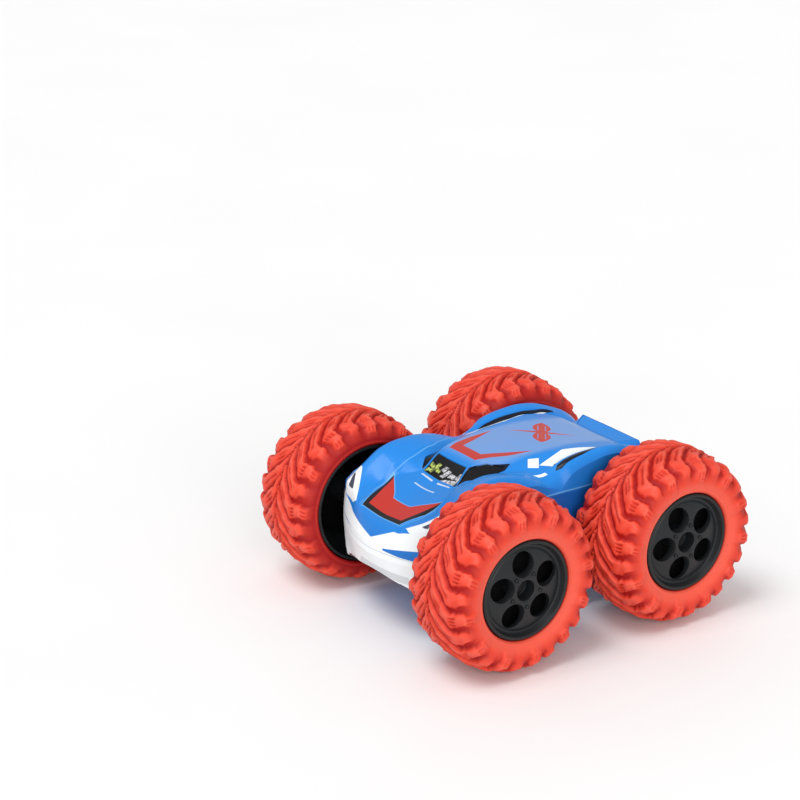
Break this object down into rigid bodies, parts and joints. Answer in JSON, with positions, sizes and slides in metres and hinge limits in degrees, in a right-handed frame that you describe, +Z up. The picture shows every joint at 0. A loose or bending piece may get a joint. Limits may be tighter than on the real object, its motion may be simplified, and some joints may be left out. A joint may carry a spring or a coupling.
{
  "type": "rc stunt car",
  "caption": "Double-sided radio-controlled stunt car with mirrored body shells, oversized soft lugged tyres, perforated wheel discs and a geared skid-steer drive on each side",
  "frame": {"origin": "on the ground, under the middle of the car", "axes": "+X to the car's left, nose towards -Y, +Z up"},
  "size_m": [0.1734, 0.187, 0.088],
  "materials": {
    "body_blue": "glossy moulded plastic with printed stripes",
    "smoked_window": "glossy black",
    "tyre_red": "soft satin moulded rubber",
    "rim_black": "satin black plastic",
    "chassis_black": "matt black plastic",
    "gear_white": "natural white acetal",
    "steel": "plated steel",
    "brass": "plain turned brass",
    "board_green": "solder mask",
    "battery_wrap": "shrink sleeve"
  },
  "bodies": {
    "body": {"antenna": "chassis_black", "axle_bush_front_left": "brass", "axle_bush_front_right": "brass", "axle_bush_rear_left": "brass", "axle_bush_rear_right": "brass", "battery": "battery_wrap", "chassis_lid": "chassis_black", "chassis_tub": "chassis_black", "circuit_board": "board_green", "gearbox_cover_left": "chassis_black", "gearbox_cover_right": "chassis_black", "lower_rear_wing": "body_blue", "lower_shell": "body_blue", "lower_side_window_left": "smoked_window", "lower_side_window_right": "smoked_window", "lower_windscreen": "smoked_window", "motor_left": "steel", "motor_right": "steel", "shell_screw_front_left": "steel", "shell_screw_front_right": "steel", "shell_screw_rear_left": "steel", "shell_screw_rear_right": "steel", "switch_body": "chassis_black", "upper_rear_wing": "body_blue", "upper_shell": "body_blue", "upper_side_window_left": "smoked_window", "upper_side_window_right": "smoked_window", "upper_windscreen": "smoked_window"},
    "wheel_front_left": {"tyre_front_left": "tyre_red", "rim_front_left": "rim_black", "axle_front_left": "steel", "hub_screw_front_left": "steel", "axle_gear_front_left": "gear_white"},
    "idler_front_left": {"idler_gear_front_left": "gear_white"},
    "wheel_rear_left": {"tyre_rear_left": "tyre_red", "rim_rear_left": "rim_black", "axle_rear_left": "steel", "hub_screw_rear_left": "steel", "axle_gear_rear_left": "gear_white"},
    "idler_rear_left": {"idler_gear_rear_left": "gear_white"},
    "wheel_front_right": {"tyre_front_right": "tyre_red", "rim_front_right": "rim_black", "axle_front_right": "steel", "hub_screw_front_right": "steel", "axle_gear_front_right": "gear_white"},
    "idler_front_right": {"idler_gear_front_right": "gear_white"},
    "wheel_rear_right": {"tyre_rear_right": "tyre_red", "rim_rear_right": "rim_black", "axle_rear_right": "steel", "hub_screw_rear_right": "steel", "axle_gear_rear_right": "gear_white"},
    "idler_rear_right": {"idler_gear_rear_right": "gear_white"},
    "middle_gear_left": {"middle_gear_left": "gear_white"},
    "pinion_left": {"motor_pinion_left": "brass"},
    "middle_gear_right": {"middle_gear_right": "gear_white"},
    "pinion_right": {"motor_pinion_right": "brass"},
    "battery_door": {"battery_door": "body_blue", "battery_door_screw": "steel"},
    "switch_knob": {"switch_knob": "chassis_black"}
  },
  "joints": [
    {"name": "front_left_wheel_spin", "type": "hinge", "parent": "body", "child": "wheel_front_left", "pos_m": [0.0645, -0.0495, 0.044], "axis": [1, 0, 0], "continuous": true},
    {"name": "front_left_idler_spin", "type": "hinge", "parent": "body", "child": "idler_front_left", "pos_m": [0.035, -0.02175, 0.044], "axis": [1, 0, 0], "continuous": true},
    {"name": "rear_left_wheel_spin", "type": "hinge", "parent": "body", "child": "wheel_rear_left", "pos_m": [0.0645, 0.0495, 0.044], "axis": [1, 0, 0], "continuous": true},
    {"name": "rear_left_idler_spin", "type": "hinge", "parent": "body", "child": "idler_rear_left", "pos_m": [0.035, 0.02175, 0.044], "axis": [1, 0, 0], "continuous": true},
    {"name": "left_middle_gear_spin", "type": "hinge", "parent": "body", "child": "middle_gear_left", "pos_m": [0.035, 0, 0.044], "axis": [1, 0, 0], "continuous": true},
    {"name": "left_pinion_spin", "type": "hinge", "parent": "body", "child": "pinion_left", "pos_m": [0.0311, -0.013, 0.05853], "axis": [1, 0, 0], "continuous": true},
    {"name": "front_right_wheel_spin", "type": "hinge", "parent": "body", "child": "wheel_front_right", "pos_m": [-0.0645, -0.0495, 0.044], "axis": [1, 0, 0], "continuous": true},
    {"name": "front_right_idler_spin", "type": "hinge", "parent": "body", "child": "idler_front_right", "pos_m": [-0.035, -0.02175, 0.044], "axis": [1, 0, 0], "continuous": true},
    {"name": "rear_right_wheel_spin", "type": "hinge", "parent": "body", "child": "wheel_rear_right", "pos_m": [-0.0645, 0.0495, 0.044], "axis": [1, 0, 0], "continuous": true},
    {"name": "rear_right_idler_spin", "type": "hinge", "parent": "body", "child": "idler_rear_right", "pos_m": [-0.035, 0.02175, 0.044], "axis": [1, 0, 0], "continuous": true},
    {"name": "right_middle_gear_spin", "type": "hinge", "parent": "body", "child": "middle_gear_right", "pos_m": [-0.035, 0, 0.044], "axis": [1, 0, 0], "continuous": true},
    {"name": "right_pinion_spin", "type": "hinge", "parent": "body", "child": "pinion_right", "pos_m": [-0.0311, -0.013, 0.05853], "axis": [1, 0, 0], "continuous": true},
    {"name": "battery_door_open", "type": "hinge", "parent": "body", "child": "battery_door", "pos_m": [0, -0.0198, 0.0073], "axis": [-1, 0, 0], "range_deg": [0, 95]},
    {"name": "power_switch", "type": "slide", "parent": "body", "child": "switch_knob", "axis": [1, 0, 0], "range_m": [0, 0.004]}
  ],
  "couplings": [
    {"joint": "front_left_idler_spin", "follows": "front_left_wheel_spin", "ratio": -0.94737},
    {"joint": "rear_left_wheel_spin", "follows": "front_left_wheel_spin", "ratio": 1},
    {"joint": "rear_left_idler_spin", "follows": "front_left_wheel_spin", "ratio": -0.94737},
    {"joint": "left_middle_gear_spin", "follows": "front_left_wheel_spin", "ratio": 1.8},
    {"joint": "left_pinion_spin", "follows": "front_left_wheel_spin", "ratio": -4.05},
    {"joint": "front_right_idler_spin", "follows": "front_right_wheel_spin", "ratio": -0.94737},
    {"joint": "rear_right_wheel_spin", "follows": "front_right_wheel_spin", "ratio": 1},
    {"joint": "rear_right_idler_spin", "follows": "front_right_wheel_spin", "ratio": -0.94737},
    {"joint": "right_middle_gear_spin", "follows": "front_right_wheel_spin", "ratio": 1.8},
    {"joint": "right_pinion_spin", "follows": "front_right_wheel_spin", "ratio": -4.05}
  ]
}
